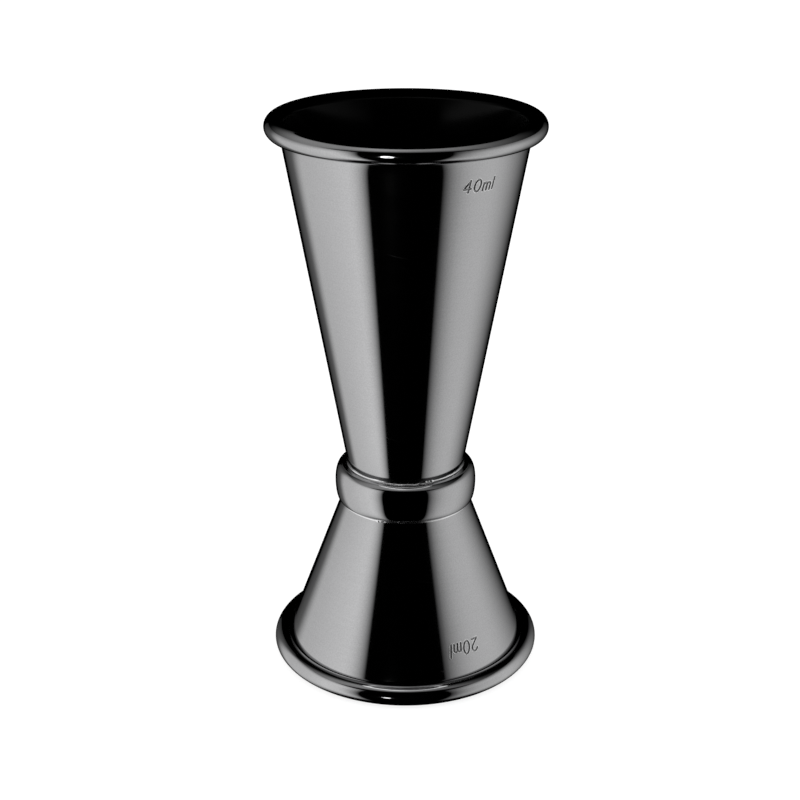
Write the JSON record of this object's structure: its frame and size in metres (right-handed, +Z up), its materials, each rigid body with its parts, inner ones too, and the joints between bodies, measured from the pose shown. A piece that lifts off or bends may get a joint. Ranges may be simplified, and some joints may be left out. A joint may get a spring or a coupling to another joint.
{
  "type": "bar jigger",
  "caption": "Double-ended conical bar jigger with rolled rims and a half-round waist ring, for measuring spirits.",
  "frame": {"origin": "centre of the foot, on the surface that the jigger stands on", "axes": "+Z up along the axis of both cups, towards the mouth of the 40 ml cup; +X and +Y are equivalent"},
  "size_m": [0.046, 0.046, 0.094],
  "materials": {
    "gunmetal_steel": "polished",
    "silver_solder": "satin"
  },
  "bodies": {
    "root": {"large_cup": "gunmetal_steel", "small_cup": "gunmetal_steel", "floor_braze": "silver_solder", "waist_ring": "gunmetal_steel", "upper_solder": "gunmetal_steel", "lower_solder": "gunmetal_steel"}
  },
  "joints": []
}
